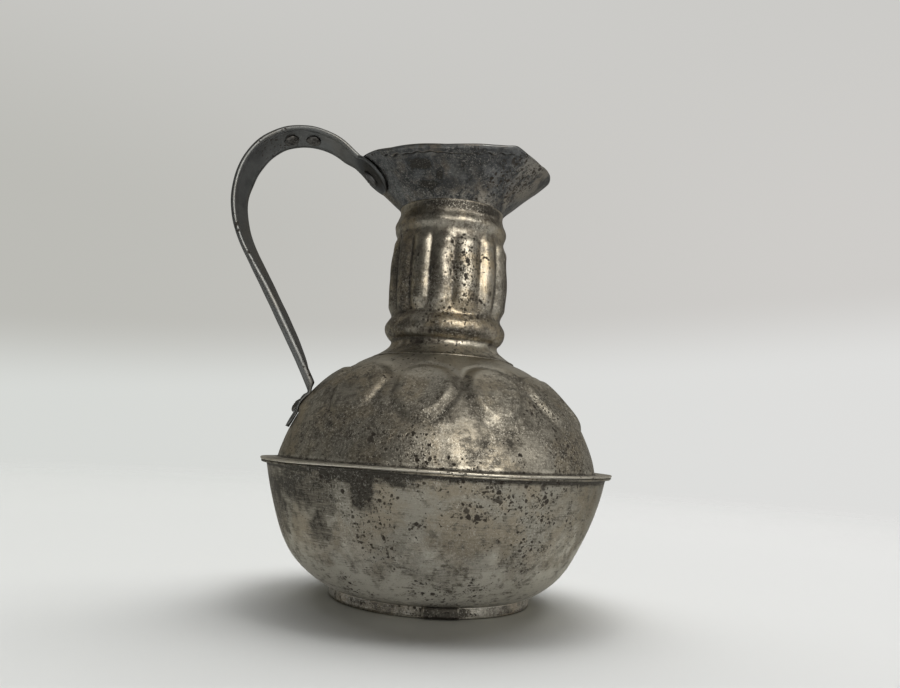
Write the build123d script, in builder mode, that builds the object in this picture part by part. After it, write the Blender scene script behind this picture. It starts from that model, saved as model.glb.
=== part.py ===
"""Hand-raised copper wine jug: bowl, shoulder, fluted neck and pouring mouth of tinned
sheet, soldered together, with a rolled-edge strap handle held by rivets.

Millimetres. The origin is the centre of the foot's underside, +Z is up, the pouring
lip points to +X and the handle to -X.
"""

from build123d import *
import math
import os

os.makedirs("parts", exist_ok=True)

# Sheet, solder and rivet fits
sheet = 1.0  # raised copper sheet of the body
tin = 0.2  # film of solder between two lapped sheets
tail_gap = 0.15  # under a rivet's clinched tail, which is flat on a curved wall

# Foot
foot_radius = 48.0
foot_height = 5.0
foot_strip = 1.2  # thickness of the foot's strip
base_height = 2.0  # underside of the bowl above the table
foot_lap_start = -105.0  # where the strip's ends are lapped, degrees from +X
foot_lap_turn = 19.0

# Bowl, as two arcs that meet at the haunch
haunch_arc = 42.4
haunch_radius = 31.0  # centre of the haunch arc from the axis
haunch_height = 43.5  # centre of the haunch arc above the table
haunch_slope = 29.0  # degrees below horizontal, where the haunch arc ends
wall_arc = 125.6

# Belly seam
seam_height = 61.5
flange_width = 2.8  # both flanges beyond the bowl's wall
seam_width = 3.0  # solder between the two flanges

# Shoulder, as one arc
dome_arc = 67.0
dome_offset = 10.8  # centre of the dome arc from the axis
dome_drop = 10.65  # centre of the dome arc below the seam
dome_opening = 26.0

# Medallions round the shoulder
medallions = 12
medallion_turn = 11.0  # first medallion, degrees from the pouring lip
medallion_slope = 42.5  # place on the dome arc, degrees above horizontal
medallion_arc = 41.5  # radius of the swelling
medallion_rise = 1.5
medallion_depth = 4.0  # how far its cap reaches into the dome's arc

# Neck: radii, and heights above the foot of its flared edge
flare_radius = 35.6
waist_radius = 26.4
waist_rise = 9.4
bead_radius = 30.0
bead_rise = 16.2
core_radius = 27.0
core_rise = 22.8
core_end_rise = 63.8
collar_bead_radius = 28.4
collar_bead_rise = 68.9
throat_radius = 25.6
throat_rise = 73.6
neck_rise = 77.4

# Flutes: upright rounded tongues
flutes = 16
flute_turn = 3.0  # degrees from the pouring lip
flute_round = 5.9  # radius of a tongue's section
flute_circle = 23.0  # radius of the circle of the tongues' centres
flute_margin = 6.2  # from the end of the core to the middle of a tongue's round end

# Mouth
mouth_slope = 42.1  # degrees above horizontal
side_rise = 19.1  # rim above the neck, where it is level behind the middle
side_start = -10.0  # level part of the rim, from the axis towards the handle
side_stop = -38.0
peak_rise = 21.5  # highest place in front
peak_place = 20.4  # from the axis towards the lip
fall_slope = 4.0  # degrees below level, from the peak to the lip
climb_slope = 12.5  # degrees above level, from the level part to the handle
rim_round = 60.0  # the rim's corners are eased to this radius
hem_width = 3.3
hem_gap = 28.0  # degrees each side of the handle that have no hem
collar_depth = 4.5  # mouth's collar inside the neck
lip_depth = 5.0  # axis of the lip's channel, inside the mouth's wall
lip_spread = 1.2  # how far the lip's channel swells out at its end
lip_length = 24.0
lip_start = 12.0  # along the wall, from the throat

# Handle strap
strap_width = 16.5
strap_sheet = 1.6
roll_radius = 1.6  # rolled edge
roll_start = 30.0  # rolled edges begin, along the mouth's wall from the throat
roll_stop = 4.5  # rolled edges end, above the strap's bend
crown_radius = 32.6
crown_rise = 33.5  # top of the strap above the neck
bow_radius = 44.9
bow_slope = 28.6  # degrees above horizontal, where the bow arc begins
grip_radius = 52.0
grip_lean = 29.4  # degrees from upright
bend_radius = 3.0
pad_overlap = 5.5  # flat pad along the strap, above the bend
pad_length = 18.6
pad_round = 5.0
leaf_radius = 12.0
leaf_place = 24.0  # along the mouth's wall, from the throat
leaf_neck = 12.0  # from the leaf's centre to its end under the strap

# Rivets
mouth_rivet_place = 22.0  # along the mouth's wall, from the throat
mouth_head_radius = 4.6
shoulder_rivet_place = 7.6  # along the pad, from the strap's bend
shoulder_head_radius = 3.8
head_height = 2.2
shank_radius = 1.9
tail_spread = 1.4  # tail's radius beyond the shank
tail_height = 1.0
crown_rivet_slope = 85.0  # middle of the pair on the crown, degrees above horizontal
crown_rivet_turn = 12.0  # each rivet from that middle
crown_head_radius = 3.6
crown_head_height = 1.3
crown_head_gap = 0.25  # flat head under the curved strap

# Heights and centres that follow
haunch_centre = (haunch_radius, haunch_height)
haunch_cos = math.cos(math.radians(haunch_slope))
haunch_sin = math.sin(math.radians(haunch_slope))
wall_centre = (
    haunch_radius - (wall_arc - haunch_arc) * haunch_cos,
    haunch_height + (wall_arc - haunch_arc) * haunch_sin,
)
base_radius = foot_radius - foot_strip - tin
bowl_top = seam_height - tin / 2
bowl_mouth = wall_centre[0] + math.sqrt(wall_arc**2 - (wall_centre[1] - bowl_top) ** 2)
flange_radius = bowl_mouth + flange_width
dome_low = seam_height + tin / 2
dome_height = seam_height - dome_drop
neck_foot = dome_height + math.sqrt(dome_arc**2 - (flare_radius - dome_offset) ** 2)
neck_top = neck_foot + neck_rise
collar_radius = throat_radius - sheet - tin
wall_cos = math.cos(math.radians(mouth_slope))
wall_sin = math.sin(math.radians(mouth_slope))
cone_rise = 2 * side_rise  # the cone is drawn this high, then cut to the rim
mouth_reach = throat_radius + cone_rise * wall_cos / wall_sin


def turned_plane(degrees):
    """Upright plane through the axis, turned from the pouring lip's side."""
    turn = math.radians(degrees)
    return Plane(
        (0, 0, 0),
        x_dir=(math.cos(turn), math.sin(turn), 0),
        z_dir=(math.sin(turn), -math.cos(turn), 0),
    )


def bowl_body(inset):
    """Solid within the bowl's skin, set in from its outside."""
    haunch = haunch_arc - inset
    wall = wall_arc - inset
    low = -math.degrees(math.acos((base_radius - inset - haunch_radius) / haunch))
    high = -math.degrees(math.asin((wall_centre[1] - bowl_top) / wall))
    with BuildPart() as body:
        with BuildSketch(Plane.XZ):
            with BuildLine():
                lower = CenterArc(haunch_centre, haunch, low, -haunch_slope - low)
                upper = CenterArc(wall_centre, wall, -haunch_slope, high + haunch_slope)
                Polyline(
                    upper @ 1,
                    (0, bowl_top),
                    (0, base_height + inset),
                    (base_radius - inset, base_height + inset),
                    lower @ 0,
                )
            make_face()
        revolve(axis=Axis.Z)
    return body.part


def swellings(inset):
    """Caps round the dome, whose tops are the medallions, set in from their outside."""
    with BuildPart() as cap:
        with Locations((0, 0, dome_arc + medallion_rise - medallion_arc)):
            Sphere(medallion_arc - inset)
        split(bisect_by=Plane.XY.offset(dome_arc - medallion_depth), keep=Keep.TOP)
    with BuildPart() as caps:
        with PolarLocations(0, medallions, medallion_turn):
            with Locations(Location((dome_offset, 0, dome_height), (0, 90 - medallion_slope, 0))):
                add(cap.part)
    return caps.part


def dome_body(inset):
    """Solid within the dome's skin, with its round swellings, set in from its outside."""
    arc = dome_arc - inset
    foot = math.degrees(math.asin((dome_low - dome_height) / arc))
    with BuildPart() as body:
        with BuildSketch(Plane.XZ):
            with BuildLine():
                skin = CenterArc((dome_offset, dome_height), arc, foot, 90 - foot)
                Polyline(skin @ 1, (0, dome_height + arc), (0, dome_low), skin @ 0)
            make_face()
        revolve(axis=Axis.Z)
        add(swellings(inset))
        split(bisect_by=Plane.XY.offset(dome_low), keep=Keep.TOP)
    return body.part


def flute_tongue(inset):
    """Upright bar with round ends, whose outer side is one flute."""
    bar = flute_round - inset
    half = (core_end_rise - core_rise) / 2 - flute_margin
    with BuildPart() as tongue:
        with BuildSketch(Plane.XZ):
            with BuildLine():
                CenterArc((0, half), bar, 0, 90)
                CenterArc((0, -half), bar, -90, 90)
                Line((0, half + bar), (0, -half - bar))
                Line((bar, -half), (bar, half))
            make_face()
        revolve(axis=Axis.Z)
    return tongue.part


def neck_body(inset):
    """Solid within the neck's skin, beads and flutes, set in from its outside."""
    low = neck_foot - foot_height
    waist = (waist_radius - inset, neck_foot + waist_rise)
    bead = (bead_radius - inset, neck_foot + bead_rise)
    core = (core_radius - inset, neck_foot + core_rise)
    core_end = (core_radius - inset, neck_foot + core_end_rise)
    collar = (collar_bead_radius - inset, neck_foot + collar_bead_rise)
    throat = (throat_radius - inset, neck_foot + throat_rise)
    edge = (flare_radius, neck_foot + tin + sheet)
    flare = ((waist_radius + flare_radius) / 2, neck_foot + waist_rise / 2)
    with BuildPart() as body:
        with BuildSketch(Plane.XZ):
            with BuildLine():
                if inset:
                    Polyline((0, low), (waist[0], low), waist)
                    Spline(waist, bead, core, tangents=((0, 1), (0, 1)))
                else:
                    Polyline((0, low), (flare_radius, low), edge)
                    Spline(edge, flare, waist, bead, core, tangents=((-2, 1), (0, 1)))
                Line(core, core_end)
                Spline(core_end, collar, throat, tangents=((0, 1), (0, 1)))
                Polyline(throat, (throat[0], neck_top), (0, neck_top), (0, low))
            make_face()
        revolve(axis=Axis.Z)
        with Locations((0, 0, neck_foot + (core_rise + core_end_rise) / 2)):
            with PolarLocations(flute_circle, flutes, flute_turn):
                add(flute_tongue(inset))
    return body.part


def above_rim(drop):
    """Everything above the mouth's rim line, lowered by the drop."""
    level = neck_top + side_rise - drop
    peak = neck_top + peak_rise - drop
    ahead = mouth_reach - peak_place
    behind = mouth_reach + side_stop
    with BuildPart() as block:
        with BuildSketch(Plane.XZ):
            with BuildLine():
                rim = FilletPolyline(
                    (-mouth_reach, level + behind * math.tan(math.radians(climb_slope))),
                    (side_stop, level),
                    (side_start, level),
                    (peak_place, peak),
                    (mouth_reach, peak - ahead * math.tan(math.radians(fall_slope))),
                    radius=rim_round,
                )
                Polyline(
                    rim @ 1,
                    (mouth_reach, neck_top + 2 * cone_rise),
                    (-mouth_reach, neck_top + 2 * cone_rise),
                    rim @ 0,
                )
            make_face()
        extrude(amount=mouth_reach, both=True)
    return block.part


def mouth_body(inset):
    """Solid within the mouth's cone and the channel of its lip, set in from its outside."""
    throat = throat_radius - inset / wall_sin
    top = neck_top + cone_rise
    wide = throat + cone_rise * wall_cos / wall_sin
    along = throat_radius + lip_start * wall_cos - lip_depth * wall_sin
    up = neck_top + lip_start * wall_sin + lip_depth * wall_cos
    with BuildPart() as body:
        with BuildSketch(Plane.XZ):
            with BuildLine():
                Polyline((0, neck_top), (throat, neck_top), (wide, top), (0, top), close=True)
            make_face()
        revolve(axis=Axis.Z)
        with Locations(Location((along, 0, up), (0, 90 - mouth_slope, 0))):
            Cone(
                lip_depth - inset,
                lip_depth + lip_spread - inset,
                lip_length,
                align=(Align.CENTER, Align.CENTER, Align.MIN),
            )
    return body.part


def wall_layer(start, turn, inner, outer):
    """Part of a cone that lies on the mouth's wall, between two distances out from it."""
    far = mouth_reach - throat_radius
    near_radius = throat_radius + inner / wall_sin
    far_radius = throat_radius + outer / wall_sin
    with BuildPart() as layer:
        with BuildSketch(turned_plane(start)):
            with BuildLine():
                Polyline(
                    (near_radius, neck_top),
                    (near_radius + far, neck_top + cone_rise),
                    (far_radius + far, neck_top + cone_rise),
                    (far_radius, neck_top),
                    close=True,
                )
            make_face()
        revolve(axis=Axis.Z, revolution_arc=turn)
    return layer.part


def wall_point(along, out):
    """Point by the mouth's wall on the handle's side, along it from the throat and out from it."""
    return (
        -(throat_radius + along * wall_cos + out * wall_sin),
        0,
        neck_top + along * wall_sin - out * wall_cos,
    )


# Strap line: the mouth's wall, the crown, the bow, the grip and the straight stay
crown_height = neck_top + crown_rise - crown_radius
wall_foot = wall_point(0, tin)
crown_over = (crown_radius + (crown_height - wall_foot[2]) * wall_cos) / wall_sin
crown_centre = (wall_foot[0] - crown_over, crown_height)
bow_cos = math.cos(math.radians(bow_slope))
bow_sin = math.sin(math.radians(bow_slope))
bow_centre = (
    crown_centre[0] + (bow_radius - crown_radius) * bow_cos,
    crown_centre[1] - (bow_radius - crown_radius) * bow_sin,
)
lean_cos = math.cos(math.radians(grip_lean))
lean_sin = math.sin(math.radians(grip_lean))
grip_centre = (bow_centre[0] + grip_radius - bow_radius, bow_centre[1])
grip_end = (grip_centre[0] - grip_radius * lean_cos, grip_centre[1] - grip_radius * lean_sin)
pad_reach = dome_arc + tin + strap_sheet


def bend_corner(depth):
    """Where the straight stay, set in by the depth, meets the pad's face on the dome."""
    side = -(grip_end[0] + depth * lean_cos) - dome_offset
    up = grip_end[1] + depth * lean_sin - dome_height
    half = side * lean_sin + up * lean_cos
    run = half - math.sqrt(half**2 - side**2 - up**2 + (pad_reach - depth) ** 2)
    return (-dome_offset - side + run * lean_sin, dome_height + up - run * lean_cos)


def dome_slope(point):
    """Degrees above horizontal of a point on the handle's side, from the dome arc's centre."""
    return math.degrees(math.atan2(point[1] - dome_height, -point[0] - dome_offset))


def shoulder_plane(place):
    """Plane on the pad, square to the dome, a run down from the strap's bend."""
    slope = math.radians(dome_slope(bend_corner(0))) - place / pad_reach
    out = (-math.cos(slope), 0, math.sin(slope))
    origin = (-dome_offset + pad_reach * out[0], 0, dome_height + pad_reach * out[2])
    return Plane(origin, x_dir=(0, 1, 0), z_dir=out)


def crown_plane(turn):
    """Plane on the hollow side of the strap's crown, a turn from the middle of the rivets."""
    slope = math.radians(180 - crown_rivet_slope + turn)
    out = (math.cos(slope), 0, math.sin(slope))
    reach = crown_radius - strap_sheet
    origin = (crown_centre[0] + reach * out[0], 0, crown_centre[1] + reach * out[2])
    return Plane(origin, x_dir=(0, 1, 0), z_dir=(-out[0], 0, -out[2]))


def rivet(seat, head_radius, grip):
    """Rivet with its domed head on the seat and its clinched tail beyond the grip."""
    low = -grip - tail_gap
    tail_radius = shank_radius + tail_spread
    with BuildPart() as pin:
        with BuildSketch(Plane.XZ):
            with BuildLine():
                side = ThreePointArc(
                    (head_radius * 0.45, head_height),
                    (head_radius * 0.85, head_height * 0.68),
                    (head_radius, 0),
                )
                Polyline(
                    side @ 1,
                    (shank_radius, 0),
                    (shank_radius, low),
                    (tail_radius, low),
                    (tail_radius - tail_spread / 2, low - tail_height),
                    (0, low - tail_height),
                    (0, head_height),
                    side @ 0,
                )
            make_face()
        revolve(axis=Axis.Z)
    return pin.part.moved(seat.location)


def crown_rivet(seat):
    """Rivet with a low head in the strap's hollow and its other end flush outside."""
    top = crown_head_gap + crown_head_height
    with BuildPart() as pin:
        with BuildSketch(Plane.XZ):
            with BuildLine():
                head = ThreePointArc(
                    (0, top),
                    (crown_head_radius * 0.7, top - crown_head_height * 0.25),
                    (crown_head_radius, crown_head_gap),
                )
                Polyline(
                    head @ 1,
                    (shank_radius, crown_head_gap),
                    (shank_radius, -strap_sheet),
                    (0, -strap_sheet),
                    head @ 0,
                )
            make_face()
        revolve(axis=Axis.Z)
    return pin.part.moved(seat.location)


def rivet_hole(seat):
    """Long pin in a rivet's line, as wide as its shank."""
    with BuildPart() as pin:
        Cylinder(shank_radius, 4 * (strap_sheet + sheet))
    return pin.part.moved(seat.location)


mouth_seat = Plane(
    wall_point(mouth_rivet_place, tin + strap_sheet),
    x_dir=(0, 1, 0),
    z_dir=(-wall_sin, 0, -wall_cos),
)
shoulder_seat = shoulder_plane(shoulder_rivet_place)
crown_seats = (crown_plane(-crown_rivet_turn), crown_plane(crown_rivet_turn))

# Lower bowl, with its flat flange at the belly
with BuildPart() as lower_bowl:
    add(bowl_body(0))
    with BuildSketch(Plane.XY.offset(bowl_top - sheet)):
        Circle(flange_radius)
    extrude(amount=sheet)
    add(bowl_body(sheet), mode=Mode.SUBTRACT)
lower_bowl.part.label = "lower_bowl"
export_step(lower_bowl.part, "parts/lower_bowl.step")

# Foot: a strip bent to a ring, with its lapped end on the outside
with BuildPart() as foot_band:
    with BuildSketch():
        Circle(foot_radius)
        Circle(foot_radius - foot_strip, mode=Mode.SUBTRACT)
    extrude(amount=foot_height)
    with BuildSketch(turned_plane(foot_lap_start)):
        with Locations((foot_radius + foot_strip / 2, foot_height / 2)):
            Rectangle(foot_strip, foot_height)
    revolve(axis=Axis.Z, revolution_arc=foot_lap_turn)
    add(bowl_body(0), mode=Mode.SUBTRACT)
foot_band.part.label = "foot_band"
export_step(foot_band.part, "parts/foot_band.step")

with BuildPart() as foot_solder:
    with BuildSketch(Plane.XY.offset(base_height)):
        Circle(base_radius + tin)
        Circle(base_radius, mode=Mode.SUBTRACT)
    extrude(amount=foot_height)
    add(bowl_body(0), mode=Mode.SUBTRACT)
foot_solder.part.label = "foot_solder"
export_step(foot_solder.part, "parts/foot_solder.step")

# Shoulder dome, with its flange on the bowl's
with BuildPart() as shoulder_dome:
    add(dome_body(0))
    with BuildSketch(Plane.XY.offset(dome_low)):
        Circle(flange_radius)
    extrude(amount=sheet)
    add(dome_body(sheet), mode=Mode.SUBTRACT)
    with BuildSketch(Plane.XY.offset(dome_height)):
        Circle(dome_opening)
    extrude(amount=2 * dome_arc, mode=Mode.SUBTRACT)
    add(rivet_hole(shoulder_seat), mode=Mode.SUBTRACT)
shoulder_dome.part.label = "shoulder_dome"
export_step(shoulder_dome.part, "parts/shoulder_dome.step")

with BuildPart() as belly_solder:
    with BuildSketch(Plane.XY.offset(bowl_top)):
        Circle(flange_radius - tin)
        Circle(flange_radius - seam_width, mode=Mode.SUBTRACT)
    extrude(amount=tin)
belly_solder.part.label = "belly_solder"
export_step(belly_solder.part, "parts/belly_solder.step")

# Neck tube, flared onto the dome
with BuildPart() as neck_tube:
    add(neck_body(0))
    add(neck_body(sheet), mode=Mode.SUBTRACT)
    with BuildSketch(Plane.XZ):
        with BuildLine():
            skin = CenterArc((dome_offset, dome_height), dome_arc + tin, 0, 90)
            Polyline(skin @ 1, (0, dome_height + dome_arc + tin), (0, dome_height), skin @ 0)
        make_face()
    revolve(axis=Axis.Z, mode=Mode.SUBTRACT)
neck_tube.part.label = "neck_tube"
export_step(neck_tube.part, "parts/neck_tube.step")

with BuildPart() as neck_solder:
    with BuildSketch(Plane.XZ):
        with BuildLine():
            film_start = math.degrees(math.acos((flare_radius - tin - dome_offset) / dome_arc))
            film_turn = math.degrees(math.acos((dome_opening - dome_offset) / dome_arc)) - film_start
            inner = CenterArc((dome_offset, dome_height), dome_arc, film_start, film_turn)
            outer = CenterArc((dome_offset, dome_height), dome_arc + tin, film_start, film_turn)
            Line(inner @ 0, outer @ 0)
            Line(inner @ 1, outer @ 1)
        make_face()
    revolve(axis=Axis.Z)
neck_solder.part.label = "neck_solder"
export_step(neck_solder.part, "parts/neck_solder.step")

# Mouth: cone with a pouring lip, a hemmed rim and a collar inside the neck
with BuildPart() as hem:
    add(wall_layer(180 + hem_gap, 360 - 2 * hem_gap, 0, sheet))
    add(above_rim(hem_width * wall_sin), mode=Mode.INTERSECT)

with BuildPart() as pouring_mouth:
    add(mouth_body(0))
    add(hem.part)
    add(above_rim(0), mode=Mode.SUBTRACT)
    with BuildSketch(Plane.XY.offset(neck_top)):
        Circle(collar_radius)
    extrude(amount=-collar_depth)
    add(mouth_body(sheet), mode=Mode.SUBTRACT)
    with BuildSketch(Plane.XY.offset(neck_top - collar_depth)):
        Circle(collar_radius - sheet)
    extrude(amount=collar_depth + sheet, mode=Mode.SUBTRACT)
    add(rivet_hole(mouth_seat), mode=Mode.SUBTRACT)
pouring_mouth.part.label = "pouring_mouth"
export_step(pouring_mouth.part, "parts/pouring_mouth.step")

with BuildPart() as mouth_solder:
    with BuildSketch(Plane.XY.offset(neck_top)):
        Circle(collar_radius + tin)
        Circle(collar_radius, mode=Mode.SUBTRACT)
    extrude(amount=throat_rise - neck_rise + tin)
mouth_solder.part.label = "mouth_solder"
export_step(mouth_solder.part, "parts/mouth_solder.step")

# Leaf: the strap's round end, hollowed to the mouth's wall
leaf_plane = Plane(wall_point(leaf_place, 0), (-wall_cos, 0, wall_sin), mouth_seat.z_dir)
with BuildPart() as leaf:
    add(wall_layer(180 - 2 * hem_gap, 4 * hem_gap, tin, tin + strap_sheet))
    with BuildSketch(leaf_plane):
        Circle(leaf_radius)
        with Locations((leaf_neck / 2, 0)):
            Rectangle(leaf_neck, strap_width - 2 * roll_radius)
    extrude(amount=leaf_radius, both=True, mode=Mode.INTERSECT)

# Pad: the strap's flat end, bent out onto the dome
corner = bend_corner(0)
inner_corner = bend_corner(strap_sheet)
with BuildPart() as pad:
    with BuildSketch(Plane.XZ):
        with BuildLine():
            centre = (-dome_offset, dome_height)
            outer_start = 180 - dome_slope(corner)
            inner_start = 180 - dome_slope(inner_corner)
            pad_stop = outer_start + math.degrees(pad_length / pad_reach)
            outer = CenterArc(centre, pad_reach, outer_start, pad_stop - outer_start)
            inner = CenterArc(centre, pad_reach - strap_sheet, inner_start, pad_stop - inner_start)
            pad_top = (corner[0] - pad_overlap * lean_sin, corner[1] + pad_overlap * lean_cos)
            Polyline(
                outer @ 0,
                pad_top,
                (pad_top[0] + strap_sheet * lean_cos, pad_top[1] + strap_sheet * lean_sin),
                inner @ 0,
            )
            pad_edge = Line(outer @ 1, inner @ 1)
        make_face()
    extrude(amount=strap_width / 2, both=True)
    for place, radius in ((corner, bend_radius), (inner_corner, bend_radius + strap_sheet)):
        bend_edge = pad.edges().filter_by(Axis.Y).sort_by_distance((place[0], 0, place[1]))[0]
        fillet(bend_edge, radius)
    for side in (-strap_width / 2, strap_width / 2):
        end_edge = pad.edges().sort_by_distance(((pad_edge @ 0.5).X, side, (pad_edge @ 0.5).Y))[0]
        fillet(end_edge, pad_round)

# Handle strap: a flat web between two rolled edges, with the leaf and the pad at its ends
with BuildPart() as handle_strap:
    start = wall_point(roll_start, tin)
    stop = (corner[0] - roll_stop * lean_sin, corner[1] + roll_stop * lean_cos)
    roll_place = strap_width / 2 - roll_radius
    with BuildLine(Plane.XZ) as strap_line:
        crown_start = 90 - mouth_slope
        crown = CenterArc(crown_centre, crown_radius, crown_start, 180 - bow_slope - crown_start)
        CenterArc(bow_centre, bow_radius, 180 - bow_slope, bow_slope)
        grip = CenterArc(grip_centre, grip_radius, 180, grip_lean)
        Line(grip @ 1, stop)
        Line((start[0], start[2]), crown @ 0)
    with BuildSketch(Plane(strap_line.line @ 0, x_dir=(0, 1, 0), z_dir=strap_line.line % 0)):
        with Locations((0, strap_sheet / 2)):
            Rectangle(2 * roll_place, strap_sheet)
        with Locations((roll_place, roll_radius), (-roll_place, roll_radius)):
            Circle(roll_radius)
    sweep(path=strap_line.line)
    for side in (-roll_place, roll_place):
        with Locations(
            (start[0] - roll_radius * wall_sin, side, start[2] - roll_radius * wall_cos),
            (stop[0] + roll_radius * lean_cos, side, stop[1] + roll_radius * lean_sin),
        ):
            Sphere(roll_radius)
    add(leaf.part)
    add(pad.part)
    add(swellings(-tin), mode=Mode.SUBTRACT)
    for seat in (mouth_seat, shoulder_seat, *crown_seats):
        add(rivet_hole(seat), mode=Mode.SUBTRACT)
handle_strap.part.label = "handle_strap"
export_step(handle_strap.part, "parts/handle_strap.step")

# Rivets
rivets = {
    "mouth_rivet": rivet(mouth_seat, mouth_head_radius, strap_sheet + tin + sheet),
    "shoulder_rivet": rivet(shoulder_seat, shoulder_head_radius, strap_sheet + tin + sheet),
    "crown_rivet_front": crown_rivet(crown_seats[0]),
    "crown_rivet_back": crown_rivet(crown_seats[1]),
}
for name, pin in rivets.items():
    pin.label = name
    export_step(pin, f"parts/{name}.step")
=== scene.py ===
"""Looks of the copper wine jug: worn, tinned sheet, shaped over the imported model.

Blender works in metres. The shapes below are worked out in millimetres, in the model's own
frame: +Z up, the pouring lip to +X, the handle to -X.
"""

import math

import bmesh
import bpy
import numpy as np
from mathutils import Matrix, Vector


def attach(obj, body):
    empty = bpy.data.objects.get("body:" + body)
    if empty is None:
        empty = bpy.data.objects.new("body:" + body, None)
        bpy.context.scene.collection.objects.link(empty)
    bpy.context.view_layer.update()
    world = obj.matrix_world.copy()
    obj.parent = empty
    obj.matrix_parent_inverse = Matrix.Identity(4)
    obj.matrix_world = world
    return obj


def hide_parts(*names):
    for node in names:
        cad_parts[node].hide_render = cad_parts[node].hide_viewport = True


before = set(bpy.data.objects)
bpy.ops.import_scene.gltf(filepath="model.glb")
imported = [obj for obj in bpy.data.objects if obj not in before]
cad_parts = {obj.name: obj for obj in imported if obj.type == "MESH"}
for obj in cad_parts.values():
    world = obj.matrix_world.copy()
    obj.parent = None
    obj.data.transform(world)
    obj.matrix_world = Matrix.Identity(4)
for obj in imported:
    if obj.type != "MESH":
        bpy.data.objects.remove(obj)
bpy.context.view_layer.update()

scene = bpy.context.scene

MM = 0.001
UP = Vector((0, 0, 1))

# The camera as fitted to the photo: turn about the jug, tilt, roll, and place in metres
DELTA, PITCH, ROLL = math.radians(12.5), math.radians(7.78), math.radians(3.48)
DISTANCE, HEIGHT, ASIDE = 0.373, 0.0721, 0.00305
LENS = 29.84

forward = Vector((math.sin(DELTA), math.cos(DELTA), 0))
right = Vector((math.cos(DELTA), -math.sin(DELTA), 0))


def from_view(ahead, aside, high):
    """A place or a way, by how far it goes away from the viewer, to the viewer's right and up."""
    return ahead * forward + aside * right + high * UP


def new_object(name, data):
    """An object in the scene that shows the data."""
    shown = bpy.data.objects.new(name, data)
    scene.collection.objects.link(shown)
    return shown


looking = from_view(math.cos(PITCH), 0, math.sin(PITCH))
above = from_view(-math.sin(PITCH), 0, math.cos(PITCH))
camera_x = math.cos(ROLL) * right + math.sin(ROLL) * above
camera_y = -math.sin(ROLL) * right + math.cos(ROLL) * above
camera_data = bpy.data.cameras.new("camera")
camera_data.lens = LENS
camera = new_object("camera", camera_data)
camera_matrix = Matrix((camera_x, camera_y, -looking)).transposed().to_4x4()
camera_matrix.translation = from_view(-DISTANCE, ASIDE, HEIGHT)
camera.matrix_world = camera_matrix
scene.camera = camera


class Tree:
    """Short names for the nodes of one material or world."""

    def __init__(self, owner):
        owner.use_nodes = True
        self.nodes = owner.node_tree.nodes
        self.links = owner.node_tree.links
        self.nodes.clear()

    def set(self, socket, value):
        if isinstance(value, bpy.types.NodeSocket):
            self.links.new(value, socket)
        elif isinstance(value, tuple) and len(value) == 3 and socket.type == "RGBA":
            socket.default_value = (*value, 1)
        else:
            socket.default_value = value

    def new(self, kind, sockets=None, **settings):
        node = self.nodes.new(kind)
        for key, value in settings.items():
            setattr(node, key, value)
        for key, value in (sockets or {}).items():
            self.set(node.inputs[key], value)
        return node

    def math(self, operation, a, b, clamp=False):
        return self.new("ShaderNodeMath", {0: a, 1: b}, operation=operation, use_clamp=clamp).outputs[0]

    def plus(self, a, b, clamp=False):
        return self.math("ADD", a, b, clamp)

    def minus(self, a, b):
        return self.math("SUBTRACT", a, b)

    def times(self, a, b):
        return self.math("MULTIPLY", a, b)

    def about(self, noise, amount):
        """Noise from 0 to 1 as a change to both sides, that many times as large."""
        return self.times(self.minus(noise, 0.5), amount)

    def span(self, value, low, high, to_low=0.0, to_high=1.0):
        """Value between low and high, smoothly turned into to_low and to_high."""
        sockets = {"Value": value, "From Min": low, "From Max": high, "To Min": to_low, "To Max": to_high}
        return self.new("ShaderNodeMapRange", sockets, interpolation_type="SMOOTHSTEP").outputs[0]

    def mix(self, factor, a, b):
        return self.new("ShaderNodeMix", {0: factor, 6: a, 7: b}, data_type="RGBA").outputs[2]

    def noise(self, vector, scale, detail, rough, warp=0.0):
        node = self.new("ShaderNodeTexNoise", {"Vector": vector, "Scale": scale, "Detail": detail})
        self.set(node.inputs["Roughness"], rough)
        self.set(node.inputs["Distortion"], warp)
        return node.outputs[0]

    def vector(self, operation, *vectors):
        return self.new("ShaderNodeVectorMath", dict(enumerate(vectors)), operation=operation).outputs

    def scaled(self, vector, factors):
        return self.vector("MULTIPLY", vector, factors)[0]

    def shifted(self, vector, offset):
        return self.vector("ADD", vector, offset)[0]

    def length(self, vector):
        return self.vector("LENGTH", vector)["Value"]

    def along(self, vector, way):
        """How far the vector goes that way."""
        return self.vector("DOT_PRODUCT", vector, tuple(way))["Value"]

    def show(self, result, kind):
        self.links.new(result, self.new(kind).inputs[0])


BLACK = (0.036, 0.033, 0.028)
PIT_TONE = (0.038, 0.030, 0.023)
# Sizes of pits: cells to the metre, share of the cells that have one, largest reach, darkness
PITS = (
    (1150.0, 0.30, 0.50, 0.75),
    (540.0, 0.30, 0.42, 0.9),
    (270.0, 0.15, 0.33, 1.0),
    (120.0, 0.05, 0.24, 0.8),
)


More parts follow.
